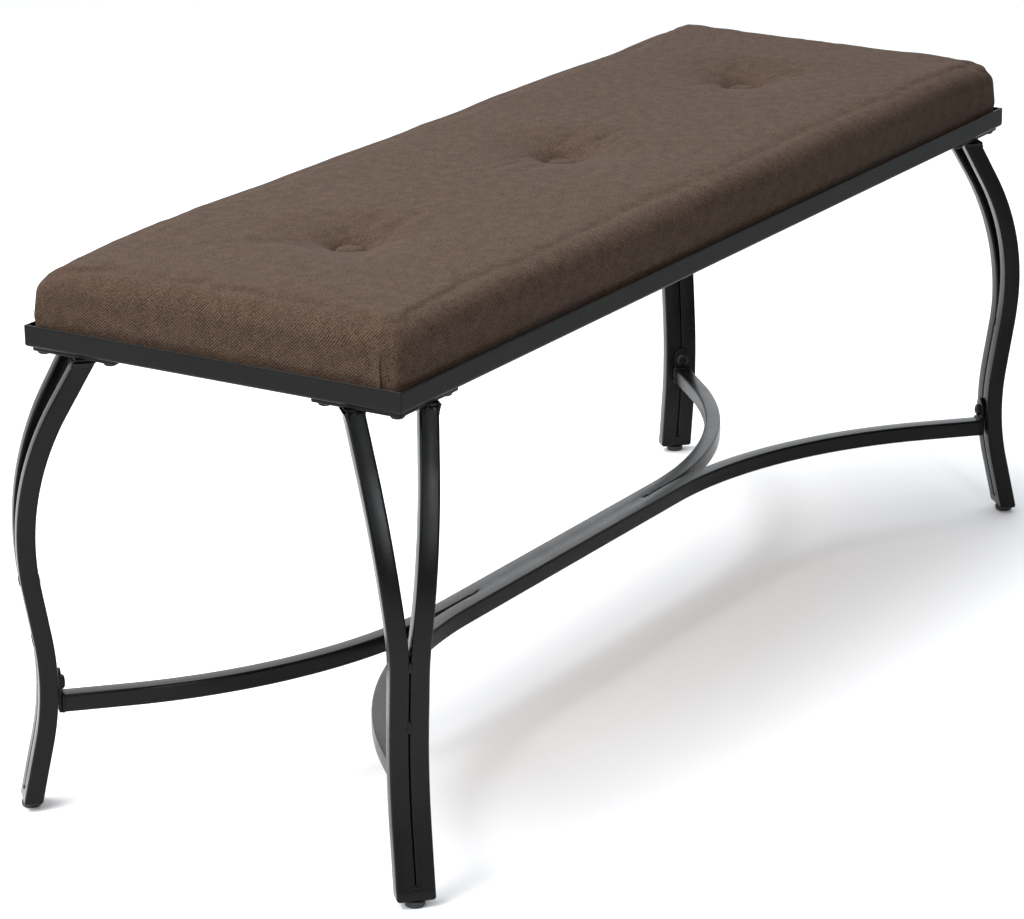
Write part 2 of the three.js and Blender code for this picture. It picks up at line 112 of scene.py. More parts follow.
class Form:
    """Vertices and faces gathered from one or more closed forms."""

    def __init__(self):
        self.vertices = []
        self.faces = []

    def loft(self, rings):
        """Joins rings of equally many points and closes both ends."""
        start, count = len(self.vertices), len(rings[0])
        for ring in rings:
            self.vertices.extend(tuple(point) for point in ring)
        for i in range(len(rings) - 1):
            here, there = start + i * count, start + (i + 1) * count
            for j in range(count):
                k = (j + 1) % count
                self.faces.append((here + j, here + k, there + k, there + j))
        last = start + (len(rings) - 1) * count
        self.faces.append(tuple(range(start, start + count))[::-1])
        self.faces.append(tuple(range(last, last + count)))
        return self

    def piece(self, name, body, slot, material, turn=None, sharp=38):
        """The form as an object that rides on a body, turned and moved by a matrix where one is given."""
        mesh = bpy.data.meshes.new(name)
        mesh.from_pydata(self.vertices, [], self.faces)
        if turn is not None:
            mesh.transform(turn)
        form = bmesh.new()
        form.from_mesh(mesh)
        bmesh.ops.recalc_face_normals(form, faces=form.faces)
        form.to_mesh(mesh)
        form.free()
        mesh.shade_smooth()
        mesh.set_sharp_from_angle(angle=math.radians(sharp))
        mesh.materials.append(material)
        made = bpy.data.objects.new(name, mesh)
        bpy.context.scene.collection.objects.link(made)
        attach(made, body)
        return made


def rounded_box(width, depth, radius, steps=4, bow=0.0, support=0.35 * MM):
    """A rectangle's outline with round corners. bow is how far the middle of each side stands out."""
    points = []
    for quarter, (sx, sy) in enumerate([(1, -1), (1, 1), (-1, 1), (-1, -1)]):
        centre = np.array([sx * (width / 2 - radius), sy * (depth / 2 - radius)])
        angles = [math.pi / 2 * (quarter - 1 + step / steps) for step in range(steps + 1)]
        bend = [centre + radius * np.array([math.cos(a), math.sin(a)]) for a in angles]
        before = np.array([math.sin(angles[0]), -math.cos(angles[0])])
        after = np.array([-math.sin(angles[-1]), math.cos(angles[-1])])
        points += [bend[0] + before * support, *bend, bend[-1] + after * support]
    if not bow:
        return points
    sides = []
    for here, there in zip(points, points[1:] + points[:1]):
        sides.append(here)
        long = np.linalg.norm(there - here)
        if long < 4 * support:
            continue
        out = np.array([there[1] - here[1], here[0] - there[0]]) / long
        for t in (0.12, 0.3, 0.5, 0.7, 0.88):
            sides.append(here + (there - here) * t + out * bow * 4 * t * (1 - t))
    return sides


def arc(x, y, radius, start, end, steps):
    """Points on a circle's arc about (x, y), from one angle to another, in degrees."""
    angles = np.radians(np.linspace(start, end, steps))
    return [(x + radius * math.cos(a), y + radius * math.sin(a)) for a in angles]


def doubled_area(outline):
    """Twice an outline's area, positive where it runs counter-clockwise."""
    return sum(a[0] * b[1] - b[0] * a[1] for a, b in zip(outline, [*outline[1:], outline[0]]))


def inset(outline, amount):
    """An outline, drawn counter-clockwise, moved inwards."""
    points = np.array(outline)
    ahead, behind = np.roll(points, -1, axis=0) - points, points - np.roll(points, 1, axis=0)
    normals = []
    for edge in (ahead, behind):
        unit = edge / np.linalg.norm(edge, axis=1)[:, None]
        normals.append(np.stack([-unit[:, 1], unit[:, 0]], axis=1))
    middle = normals[0] + normals[1]
    middle /= (middle * normals[0]).sum(axis=1)[:, None]
    return points + middle * amount


def edge_levels(low, edge, steps):
    """(height, inset) up a rounded edge, from its flat underside to its full width."""
    angles = np.linspace(math.pi / 2, 0, steps + 1)
    return [(low + edge * (1 - math.sin(a)), edge * (1 - math.cos(a))) for a in angles]


def slab(form, outline, low, high, edge, steps=3):
    """A flat outline between two heights with rounded edges."""
    levels = edge_levels(low, edge, steps)
    mirrored = [(high + low - height, amount) for height, amount in reversed(levels)]
    rings = []
    for height, amount in levels + mirrored:
        flat = inset(outline, amount)
        rings.append(np.column_stack([flat, np.full(len(flat), height)]))
    return form.loft(rings)


def turned(form, profile, sides=40, shape=None):
    """A profile of (radius, height) turned about Z. shape(i, angle) scales the radius of the i-th point."""
    rings = []
    for i, (radius, height) in enumerate(profile):
        ring = []
        for k in range(sides):
            angle = 2 * math.pi * k / sides
            reach = max(radius, 1e-6) * (shape(i, angle) if shape else 1)
            ring.append((reach * math.cos(angle), reach * math.sin(angle), height))
        rings.append(ring)
    return form.loft(rings)


class BentLine:
    """A flat line of straight runs and round bends, each (length, turn), from the origin along +x."""

    def __init__(self, runs):
        self.runs = runs
        self.length = sum(length for length, _ in runs)

    def at(self, distance):
        """The place at a distance along the line, and the line's heading there."""
        place, heading, left = np.zeros(2), 0.0, distance
        for i, (length, turn) in enumerate(self.runs):
            run = left if i == len(self.runs) - 1 else min(left, length)
            part = turn * run / length
            chord = run if abs(part) < 1e-9 else 2 * math.sin(part / 2) * run / part
            place = place + chord * np.array([math.cos(heading + part / 2), math.sin(heading + part / 2)])
            heading += part
            left -= run
            if left <= 1e-12:
                break
        return place, heading


def frames_along(centres, side):
    """Each centre with the two directions of a section there. The first is square to side as well."""
    for centre, tangent in zip(centres, np.gradient(centres, axis=0)):
        tangent = tangent / np.linalg.norm(tangent)
        across = np.cross(side, tangent)
        across /= np.linalg.norm(across)
        yield centre, across, np.cross(tangent, across)


def swept(centres, profile, side):
    """The rings of a section that is carried along centres."""
    frames = frames_along(np.array(centres), side)
    return [[centre + (across * x + up * y) for x, y in profile] for centre, across, up in frames]


BEAD_SIDE = Z + 0.013 * X + 0.021 * Y  # close to upright, and along no bead
BEAD_SIDES = 10
BEAD_PITCH, BEAD_RIBS = 2.1 * MM, 0.09
BEAD_LUMP, BEAD_ROUGH = 3.2 * MM, 0.22


def bead(form, centres, radius, seed):
    """A weld: a ribbed, uneven round cord along centres, tapered at its ends."""
    centres = np.array(centres)
    steps = np.linalg.norm(np.diff(centres, axis=0), axis=1)
    along = np.concatenate([[0], np.cumsum(steps)])
    rings = []
    for (centre, across, up), distance in zip(frames_along(centres, BEAD_SIDE), along):
        reach = radius * (1 + BEAD_RIBS * math.sin(2 * math.pi * distance / BEAD_PITCH))
        end = min(distance, along[-1] - distance)
        reach *= math.sqrt(max(0.02, 1 - (1 - min(1, end / radius)) ** 2))
        ring = []
        for k in range(BEAD_SIDES):
            angle = 2 * math.pi * k / BEAD_SIDES
            way = across * math.cos(angle) + up * math.sin(angle)
            spot = Vector(centre + way * radius) / BEAD_LUMP + Vector((seed * 7.1, seed * 3.3, 0))
            ring.append(centre + way * reach * (1 + BEAD_ROUGH * noise.noise(spot)))
        rings.append(ring)
    form.loft(rings)


def resampled(points, step):
    """The same line with points a step apart."""
    points = np.array(points, float)
    along = np.concatenate([[0], np.cumsum(np.linalg.norm(np.diff(points, axis=0), axis=1))])
    count = max(3, int(along[-1] / step) + 1)
    wanted = np.linspace(0, along[-1], count)
    return np.column_stack([np.interp(wanted, along, points[:, k]) for k in range(3)])


# Materials.

class Nodes:
    """A material's node tree, with short calls for the nodes used here."""

    def __init__(self, name):
        self.material = bpy.data.materials.new(name)
        self.material.use_nodes = True
        self.tree = self.material.node_tree
        self.shader = self.tree.nodes["Principled BSDF"]

    def add(self, kind, inputs=(), **settings):
        node = self.tree.nodes.new(kind)
        for key, value in settings.items():
            setattr(node, key, value)
        for key, value in dict(inputs).items():
            self.put(node.inputs[key], value)
        return node

    def put(self, socket, value):
        if isinstance(value, bpy.types.NodeSocket):
            self.tree.links.new(value, socket)
        else:
            socket.default_value = value

    def maths(self, operation, *values):
        return self.add("ShaderNodeMath", enumerate(values), operation=operation).outputs[0]

    def noise(self, place, scale, detail=3.0, rough=0.5):
        inputs = {"Vector": place, "Scale": scale, "Detail": detail, "Roughness": rough}
        return self.add("ShaderNodeTexNoise", inputs).outputs["Fac"]

    def spread(self, value, low, high, to_low, to_high):
        inputs = {"Value": value, "From Min": low, "From Max": high, "To Min": to_low, "To Max": to_high}
        return self.add("ShaderNodeMapRange", inputs).outputs["Result"]

    def mix(self, share, a, b):
        return self.add("ShaderNodeMix", {0: share, 6: a, 7: b}, data_type="RGBA").outputs[2]

    def bump(self, height, strength, distance, normal=None):
        inputs = {"Height": height, "Strength": strength, "Distance": distance}
        node = self.add("ShaderNodeBump", inputs)
        if normal is not None:
            self.put(node.inputs["Normal"], normal)
        return node.outputs["Normal"]

    def set(self, **values):
        for key, value in values.items():
            self.put(self.shader.inputs[key.replace("_", " ")], value)


def object_place(nodes):
    return nodes.add("ShaderNodeTexCoord").outputs["Object"]


def black_paint(name, dark, light, gloss):
    """Satin powder coat: a fine orange peel, slight clouding, and gloss that varies from place to place."""
    nodes = Nodes(name)
    place = object_place(nodes)
    cloud = nodes.noise(place, 22.0, 4.0)
    speck = nodes.noise(place, 1500.0, 2.0)
    peel = nodes.noise(place, 520.0, 3.0, 0.6)
    colour = nodes.mix(nodes.spread(cloud, 0.35, 0.65, 0, 1), dark, light)
    fleck = nodes.spread(speck, 0.66, 0.72, 0, 0.35)
    colour = nodes.mix(fleck, colour, tuple(3 * c for c in light[:3]) + (1,))
    nodes.set(
        Base_Color=colour,
        Roughness=nodes.spread(cloud, 0.3, 0.7, gloss - 0.05, gloss + 0.06),
        IOR=1.25,
        Specular_Tint=(1, 0.97, 0.93, 1),
        Normal=nodes.bump(peel, 0.1, 0.0004),
    )
    return nodes.material


def weave_cloth(name, dark, light):
    """A heathered twill: two yarns crossing, ribs on the diagonal, slubs, and slow changes of tone."""
    nodes = Nodes(name)
    cloth = nodes.add("ShaderNodeAttribute", attribute_name="weave").outputs["Vector"]
    split = nodes.add("ShaderNodeSeparateXYZ", {0: cloth})
    warp, weft = split.outputs[0], split.outputs[1]
    wander = nodes.noise(cloth, 160.0, 2.0)
    shift = nodes.maths("MULTIPLY", nodes.maths("SUBTRACT", wander, 0.5), 0.0011)
    pitch = 0.00062  # from one yarn to the next

    def wave(value, period):
        return nodes.maths("SINE", nodes.maths("MULTIPLY", value, 2 * math.pi / period))

    diagonal = nodes.maths("ADD", nodes.maths("ADD", warp, weft), shift)
    rib = wave(diagonal, 4 * pitch)
    yarns = nodes.maths("MULTIPLY", wave(warp, 2 * pitch), wave(weft, 2 * pitch))
    height = nodes.maths("ADD", nodes.maths("MULTIPLY", rib, 0.5), nodes.maths("MULTIPLY", yarns, 0.35))

    slant = {"Vector": cloth, "Rotation": (0, 0, 0.78), "Scale": (1, 0.62, 1)}
    slub = nodes.noise(nodes.add("ShaderNodeMapping", slant).outputs[0], 640.0, 3.0, 0.65)
    fuzz = nodes.noise(cloth, 1400.0, 2.0)
    tone = nodes.noise(cloth, 17.0, 4.0, 0.6)
    patch = nodes.noise(cloth, 90.0, 3.0, 0.6)

    share = nodes.maths("MULTIPLY_ADD", height, 0.62, 0.5)
    for part, reach in ((slub, 0.42), (fuzz, 0.45), (patch, 0.16)):
        share = nodes.maths("ADD", share, nodes.spread(part, 0.3, 0.7, -reach, reach))
    colour = nodes.mix(nodes.spread(share, 0, 1, 0, 1), dark, light)
    colour = nodes.mix(nodes.spread(tone, 0.3, 0.7, 0, 0.2), colour, (0.05, 0.036, 0.024, 1))
    bumps = nodes.bump(height, 0.55, 0.00028)
    bumps = nodes.bump(slub, 0.25, 0.0004, bumps)
    nodes.set(
        Base_Color=colour,
        Roughness=nodes.spread(slub, 0.3, 0.7, 0.82, 0.95),
        Normal=bumps,
        Sheen_Weight=0.04,
        Sheen_Roughness=0.45,
        Sheen_Tint=(0.75, 0.66, 0.6, 1),
        Specular_IOR_Level=0.1,
    )
    return nodes.material


def plywood():
    """Raw plywood: long grain along the board with darker late wood and small pores."""
    nodes = Nodes("plywood")
    place = object_place(nodes)
    squeeze = nodes.add("ShaderNodeMapping", {"Vector": place, "Scale": (0.9, 12, 12)})
    grain = nodes.noise(squeeze.outputs[0], 9.0, 6.0, 0.65)
    fine = nodes.add("ShaderNodeMapping", {"Vector": place, "Scale": (6, 160, 160)})
    pores = nodes.noise(fine.outputs[0], 5.0, 3.0)
    colour = nodes.mix(nodes.spread(grain, 0.35, 0.65, 0, 1), (0.56, 0.37, 0.2, 1), (0.38, 0.22, 0.11, 1))
    colour = nodes.mix(nodes.spread(pores, 0.58, 0.7, 0, 0.5), colour, (0.2, 0.11, 0.05, 1))
    nodes.set(Base_Color=colour, Roughness=nodes.spread(grain, 0.3, 0.7, 0.6, 0.8),
              Normal=nodes.bump(pores, 0.3, 0.0003))
    return nodes.material


def zinc():
    """Zinc plate with its crystals' faint patches and fine turning marks."""
    nodes = Nodes("zinc_plate")
    place = object_place(nodes)
    crystals = nodes.add("ShaderNodeTexVoronoi", {"Vector": place, "Scale": 700.0}).outputs["Distance"]
    marks = nodes.noise(place, 1800.0, 2.0)
    colour = nodes.mix(nodes.spread(crystals, 0.1, 0.7, 0, 1), (0.5, 0.5, 0.51, 1), (0.7, 0.7, 0.69, 1))
    nodes.set(Base_Color=colour, Metallic=1.0, Roughness=nodes.spread(crystals, 0.1, 0.7, 0.25, 0.42),
              Normal=nodes.bump(marks, 0.1, 0.0001))
    return nodes.material


def twine_yarn():
    """Waxed twine: strands laid round it."""
    nodes = Nodes("waxed_twine")
    place = object_place(nodes)
    wave = nodes.add("ShaderNodeTexWave", {"Vector": place, "Scale": 420.0, "Distortion": 1.5},
                     bands_direction="DIAGONAL").outputs["Fac"]
    colour = nodes.mix(wave, (0.36, 0.3, 0.2, 1), (0.66, 0.6, 0.46, 1))
    nodes.set(Base_Color=colour, Roughness=nodes.spread(wave, 0, 1, 0.75, 0.6),
              Normal=nodes.bump(wave, 0.5, 0.0003))
    return nodes.material


def nylon():
    """Moulded black nylon with a fine spark finish."""
    nodes = Nodes("black_nylon")
    place = object_place(nodes)
    spark = nodes.noise(place, 2600.0, 2.0)
    cloud = nodes.noise(place, 60.0, 3.0)
    colour = nodes.mix(cloud, (0.009, 0.009, 0.009, 1), (0.018, 0.018, 0.018, 1))
    nodes.set(Base_Color=colour, Roughness=nodes.spread(cloud, 0.3, 0.7, 0.5, 0.62),
              Normal=nodes.bump(spark, 0.25, 0.0002), IOR=1.45)
    return nodes.material


YARNS = (0.013, 0.0078, 0.0053, 1), (0.097, 0.0585, 0.039, 1)
PAINT = black_paint("black_powder_coat", (0.0022, 0.0022, 0.0021, 1), (0.0038, 0.0038, 0.0036, 1), 0.28)
SCREW_BLACK = black_paint("black_oxide", (0.005, 0.005, 0.005, 1), (0.01, 0.01, 0.0095, 1), 0.4)
CLOTH, BUTTON_CLOTH = weave_cloth("brown_twill", *YARNS), weave_cloth("brown_twill_button", *YARNS)
PLYWOOD, ZINC, TWINE, NYLON = plywood(), zinc(), twine_yarn(), nylon()


# The frame.

def corner_turn(corner):
    """From a corner's own frame, whose +X points out along its diagonal, to the bench's."""
    sx, sy = CORNERS[corner]
    place = Vector((sx * HALF_LENGTH, sy * HALF_DEPTH, 0))
    return Matrix.Translation(place) @ Matrix.Rotation(math.atan2(sy, sx), 4, "Z")


def inward(from_end, from_long, long_side=1):
    """A place given by its distances in from the two rails' outer faces, in the corner's own frame."""
    return np.array([-(from_end + from_long), long_side * (from_end - from_long)]) / math.sqrt(2)


def rail_section():
    """An angle rail's section: (distance in from its outer face, height above its foot)."""
    height, inner_bend = RIM_TOP - RIM_BOTTOM, RIM_BEND - RIM_WALL
    edge_foot = height - RIM_EDGE
    steady = 0.4 * MM  # a point this far past a bend keeps the flat face flat
    return np.array([
        (0, RIM_BEND + steady),
        (0, edge_foot - steady),
        *arc(RIM_EDGE, edge_foot, RIM_EDGE, 180, 90, 4),
        *arc(RIM_WALL - RIM_EDGE, edge_foot, RIM_EDGE, 90, 0, 4),
        (RIM_WALL, edge_foot - steady),
        *arc(RIM_BEND, RIM_BEND, inner_bend, 180, 270, 5),
        (RIM_BEND + 2 * steady, RIM_WALL),
        (RIM_FLANGE, RIM_WALL),
        (RIM_FLANGE, 0),
        (RIM_BEND + 2 * steady, 0),
        *arc(RIM_BEND, RIM_BEND, RIM_BEND, 270, 180, 9),
    ])


def rim_rails():
    section = rail_section()
    shrink = math.copysign(0.22 * MM, doubled_area(section))  # leaves a fine groove at the mitres
    ends = [(-1, 0.06 * MM, shrink), (-1, 0.3 * MM, 0), (1, 0.3 * MM, 0), (1, 0.06 * MM, shrink)]
    rims = [("front", HALF_LENGTH, HALF_DEPTH), ("right", HALF_DEPTH, HALF_LENGTH),
            ("rear", HALF_LENGTH, HALF_DEPTH), ("left", HALF_DEPTH, HALF_LENGTH)]
    for quarter, (side, half, out) in enumerate(rims):
        rings = []
        for end, gap, amount in ends:
            ring = inset(section, amount)
            rings.append([(end * (half - gap - y), y - out, RIM_BOTTOM + z) for y, z in ring])
        turn = Matrix.Rotation(quarter * math.pi / 2, 4, "Z")
        rail = Form().loft(rings).piece(f"rail_{side}", "bench", "black_frame", PAINT, turn, sharp=50)
        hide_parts(f"rim_rail_{side}")


def corner_plates():
    outline = [(PLATE_INSET, PLATE_INSET), (PLATE_INSET, PLATE_REACH), (PLATE_TIP, PLATE_REACH),
               (PLATE_REACH, PLATE_TIP), (PLATE_REACH, PLATE_INSET)]
    corners = [inward(*place) for place in outline]
    points = []
    for before, here, after in zip(corners[-1:] + corners[:-1], corners, corners[1:] + corners[:1]):
        start = here + (before - here) / np.linalg.norm(before - here) * PLATE_ROUND
        end = here + (after - here) / np.linalg.norm(after - here) * PLATE_ROUND
        for t in np.linspace(0, 1, 5):
            points.append((1 - t) ** 2 * start + 2 * t * (1 - t) * here + t * t * end)
    points = points if doubled_area(points) > 0 else points[::-1]
    for corner in CORNERS:
        form = slab(Form(), points, PLATE_BOTTOM, PLATE_TOP, 0.6 * MM)
        plate = form.piece(f"plate_{corner}", "bench", "black_frame", PAINT, corner_turn(corner))
        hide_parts(f"corner_plate_{corner}")


def button_screw(radius, height, shank, length):
    """A low domed screw with a hexagon socket, its head's foot at the origin and its top along +Z."""
    socket, depth = 0.42 * radius, 0.55 * height
    flat, rim = 1.15 * socket, 0.25 * height
    dome = []
    for angle in np.linspace(0, math.pi / 2, 9):
        dome.append((flat + (radius - flat) * math.cos(angle), rim + (height - rim) * math.sin(angle)))
    profile = [(0, -length), (shank, -length), (shank, -0.1 * MM)]
    profile += [(radius * 0.93, 0), (radius, 0.12 * height), *dome]
    first = len(profile)
    profile += [(socket, height * 0.97), (socket, height - depth), (0, height - depth - 0.3 * MM)]

    def shape(i, angle):
        if first <= i < first + 2:
            corner = (angle + math.pi / 6) % (math.pi / 3) - math.pi / 6
            return 0.93 / math.cos(corner)
        return 1

    return turned(Form(), profile, 36, shape)


def screws():
    for corner in CORNERS:
        sx, sy = CORNERS[corner]
        turn = corner_turn(corner)
        for place, where in zip(PLATE_SCREWS, SCREW_NODES):
            x, y = inward(*place, long_side=sx * sy)
            down = Matrix.Translation((x, y, PLATE_BOTTOM)) @ Matrix.Rotation(math.pi, 4, "X")
            down = down @ Matrix.Rotation(0.7 * (x + 3 * y) / TUBE, 4, "Z")  # no two sockets stand alike
            screw = button_screw(5.6 * MM, 2.9 * MM, 3 * MM, 7 * MM).piece(
                f"plate_screw_{corner}_{where}", "bench", "black_fastener", SCREW_BLACK, turn @ down)
            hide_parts(f"plate_bolt_{corner}_{where}")
        sideways = Matrix.Translation((-TAB_FACE - TAB_THICKNESS, 0, TAB_BOLT_HEIGHT))
        sideways = sideways @ Matrix.Rotation(-math.pi / 2, 4, "Y")
        screw = button_screw(5.8 * MM, 3.2 * MM, 2.5 * MM, 12 * MM).piece(
            f"tab_screw_{corner}", "bench", "black_fastener", SCREW_BLACK, turn @ sideways)
        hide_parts(f"tab_bolt_{corner}")


LEG_LINE = BentLine(LEG_RUNS)


def leg_place(distance):
    """(offset from the rim's corner, height) of a leg's middle line."""
    (x, y), _ = LEG_LINE.at(distance)
    return (FOOT_OFFSET - x * math.sin(FOOT_LEAN) - y * math.cos(FOOT_LEAN),
            x * math.cos(FOOT_LEAN) - y * math.sin(FOOT_LEAN))


def spread(height):
    """How far each tube's middle is from the pair's middle plane."""
    above = height - SPLIT_HEIGHT
    if above <= -SPLIT_BLEND:
        return PAIR_HALF
    if above >= SPLIT_BLEND:
        return PAIR_HALF + SPLIT_SLOPE * above
    return PAIR_HALF + SPLIT_SLOPE * (above + SPLIT_BLEND) ** 2 / (4 * SPLIT_BLEND)


def leg_centre(distance, side):
    offset, height = leg_place(distance)
    return np.array([offset, side * spread(height), height])


def distance_at(height):
    """How far along a leg's middle line a height is."""
    low, high = 0.0, LEG_LINE.length
    for _ in range(40):
        middle = (low + high) / 2
        low, high = (middle, high) if leg_place(middle)[1] < height else (low, middle)
    return low


def level_end(ring, way, height):
    """A ring carried along a direction until it lies at one height."""
    way = way / np.linalg.norm(way)
    return [point + way * (height - point[2]) / way[2] for point in ring]


def leg_tubes():
    profile = rounded_box(TUBE, TUBE, TUBE_CORNER, bow=FACE_BOW)
    first, last = distance_at(SEAM_FOOT + 6 * MM), distance_at(PLATE_BOTTOM - 9 * MM)
    distances = np.linspace(first, last, 84)
    for side in (1, -1):
        centres = [leg_centre(d, side) for d in distances]
        rings = swept(centres, profile, Y)
        foot_way, top_way = centres[1] - centres[0], centres[-1] - centres[-2]
        rings.insert(0, level_end(rings[0], foot_way, SEAM_FOOT))
        rings.append(level_end(rings[-1], top_way, PLATE_BOTTOM))
        for corner in CORNERS:
            sx, sy = CORNERS[corner]
            where = "long" if side == sx * sy else "end"
            tube = Form().loft(rings).piece(
                f"tube_{where}_{corner}", "bench", "black_frame", PAINT, corner_turn(corner))
            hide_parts(f"leg_{corner}_tube_{where}")


def foot_ends():
    """Each pair's closed lower end, where the seam is filled and ground flush, with its corners rounded."""
    width, depth, edge = 2 * PAIR_HALF + TUBE, TUBE / math.cos(FOOT_LEAN), 2.6 * MM
    rings = []
    for height, amount in [*edge_levels(FOOT_BOTTOM, edge, 5), (SEAM_FOOT, 0)]:
        offset = leg_place(distance_at(height))[0]
        outline = rounded_box(depth - 2 * amount, width - 2 * amount, TUBE_CORNER)
        rings.append([(offset + x, y, height) for x, y in outline])
    for corner in CORNERS:
        end = Form().loft(rings).piece(
            f"foot_end_{corner}", "bench", "black_frame", PAINT, corner_turn(corner))
        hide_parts(f"foot_cap_{corner}")


def glides():
    radius, edge, bevel = 7.9 * MM, 2.2 * MM, 0.5 * MM
    neck, root, crest, turns = 4.2 * MM, 2.6 * MM, 3 * MM, 11
    profile = [(0, 0), (radius - edge, 0)]
    for a in np.linspace(0.2, math.pi / 2, 7):
        profile.append((radius - edge + edge * math.sin(a), edge - edge * math.cos(a)))
    profile += [(radius, GLIDE_HEIGHT - bevel), (radius - bevel, GLIDE_HEIGHT), (neck, GLIDE_HEIGHT)]
    for turn in range(turns):
        low = GLIDE_HEIGHT + turn * MM
        profile += [(root, low + 0.1 * MM), (crest, low + 0.5 * MM), (root, low + 0.9 * MM)]
    profile.append((0, GLIDE_HEIGHT + (turns + 0.2) * MM))
    for corner in CORNERS:
        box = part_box(f"foot_glide_{corner}")
        centre = (box[0] + box[1]) / 2
        glide = turned(Form(), profile, 44).piece(
            f"glide_{corner}", f"glide_{corner}", "glide_plastic", NYLON,
            Matrix.Translation((centre.x, centre.y, 0)))
        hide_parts(f"foot_glide_{corner}")


def stretcher_tabs():
    half, nick = TAB_WIDTH / 2, 1 * MM
    low, high = TAB_BOX[0].z, TAB_BOX[1].z
    points = [(-half + nick, low), (half - nick, low), (half, low + nick)]
    points += arc(0, high - half, half, 0, 180, 17)
    points += [(-half, low + nick)]
    for corner in CORNERS:
        form = slab(Form(), points, TAB_FACE, TAB_FACE + TAB_THICKNESS, 0.5 * MM)
        form.vertices = [(-z, x, y) for x, y, z in form.vertices]
        tab = form.piece(f"tab_{corner}", "bench", "black_frame", PAINT, corner_turn(corner))
        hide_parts(f"stretcher_tab_{corner}")


QUARTER = math.pi / 4
BEND_RISE = STRETCHER_BEND * (1 - math.cos(QUARTER))
BEND_REACH = STRETCHER_BEND * math.sin(QUARTER)
DIAGONAL_RISE = HALF_DEPTH - PAIR_HALF - BEND_RISE
MEETING_HALF = (HALF_LENGTH - HALF_DEPTH) + PAIR_HALF + BEND_RISE - BEND_REACH
STRETCHER_LINE = BentLine([
    (DIAGONAL_RISE * math.sqrt(2), 0),
    (STRETCHER_BEND * QUARTER, -QUARTER),
    (2 * MEETING_HALF, 0),
    (STRETCHER_BEND * QUARTER, -QUARTER),
    (DIAGONAL_RISE * math.sqrt(2), 0),
])


def stretchers():
    profile = rounded_box(TUBE, TUBE, TUBE_CORNER, bow=FACE_BOW)
    start = TAB_FACE + TAB_THICKNESS - 0.2 * MM
    distances = np.linspace(start, STRETCHER_LINE.length - start, 150)
    cos, sin = math.cos(QUARTER), math.sin(QUARTER)
    centres = []
    for distance in distances:
        (x, y), _ = STRETCHER_LINE.at(distance)
        place = [cos * x - sin * y - HALF_LENGTH, sin * x + cos * y - HALF_DEPTH]
        centres.append([*place, STRETCHER_TOP - TUBE / 2])
    rings = swept(centres, profile, Z)
    for side, angle in (("front", 0), ("rear", math.pi)):
        turn = Matrix.Rotation(angle, 4, "Z")
        bar = Form().loft(rings).piece(f"stretcher_bar_{side}", "bench", "black_frame", PAINT, turn)
        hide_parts(f"stretcher_{side}")


SEAM_HALF, SEAM_WIDTH, SEAM_DEPTH = 140 * MM, 1.75 * MM, 1.6 * MM
SEAM_END = 7 * MM  # the seam's weld sinks away over this length
SEAM_PIT = 9 * MM  # from the seam's end to the small weld past it


def stretcher_seams():
    """The weld that joins the stretchers along the middle, ground flush, and a small one past each end."""
    form = Form()
    for top, toward in ((STRETCHER_TOP, 1), (STRETCHER_TOP - TUBE, -1)):
        rings = []
        for x in np.linspace(-SEAM_HALF, SEAM_HALF, 90):
            end = min(1, (SEAM_HALF - abs(x)) / SEAM_END)
            wobble = 0.05 * MM * noise.noise(Vector((x * 160, top * 50, 3)))
            crest = top - toward * (0.7 * MM * (1 - end) ** 2 - wobble)
            shoulder, foot = crest - toward * 0.02 * MM, top - toward * SEAM_DEPTH
            section = [(-SEAM_WIDTH, shoulder), (0, crest), (SEAM_WIDTH, shoulder),
                       (SEAM_WIDTH * 0.5, foot), (-SEAM_WIDTH * 0.5, foot)]
            rings.append([(x, y, z) for y, z in section])
        form.loft(rings)
        for end in (-1, 1):
            centre = end * (SEAM_HALF + SEAM_PIT)
            steps = np.linspace(-4 * MM, 4 * MM, 9)
            points = [(centre + step, 0, top - toward * 0.55 * MM) for step in steps]
            bead(form, points, 1.1 * MM, 5 + end)
    form.piece("stretcher_seam_welds", "bench", "black_frame", PAINT, sharp=60)


FLARE_HEIGHT, FLARE_REACH = 8 * MM, 3 * MM
FLARE_LUMP = 4.5 * MM


def flare(form, side, seed):
    """The fillet where a leg tube meets its plate: uneven, and spreading out over the plate."""
    rings = []
    for t in np.linspace(0, 1, 10):
        z = PLATE_BOTTOM - FLARE_HEIGHT * (1 - t)
        middle = leg_centre(distance_at(z), side)
        grow = 0.05 * MM + FLARE_REACH * t ** 2.6
        ring = []
        outline = rounded_box(TUBE * 1.08 + 2 * grow, TUBE + 2 * grow, TUBE_CORNER + grow, bow=FACE_BOW)
        for x, y in outline:
            bump = noise.noise(Vector((x, y, z)) / FLARE_LUMP + Vector((seed * 5.3, side * 3.1, 0)))
            share = 1 + 0.055 * bump * min(1, 3 * t)
            ring.append((middle[0] + x * share, middle[1] + y * share, z))
        rings.append(ring)
    form.loft(rings)


# Beads up a tube's outer face at its top: (share of the way across it, length in mm, radius in mm).
TOP_BEADS = [(0.4, 6.5, 1.5), (-0.38, 7.5, 1.3), (0.05, 4.6, 1.7)]

# Beads in a pair's seam: (height, length and radius in mm, which faces: 1 outside, -1 inside).
SEAM_BEADS = [(140, 11, 1.5, (1,)), (190, 9, 1.7, (1, -1)), (16, 4, 1.8, (1, -1))]


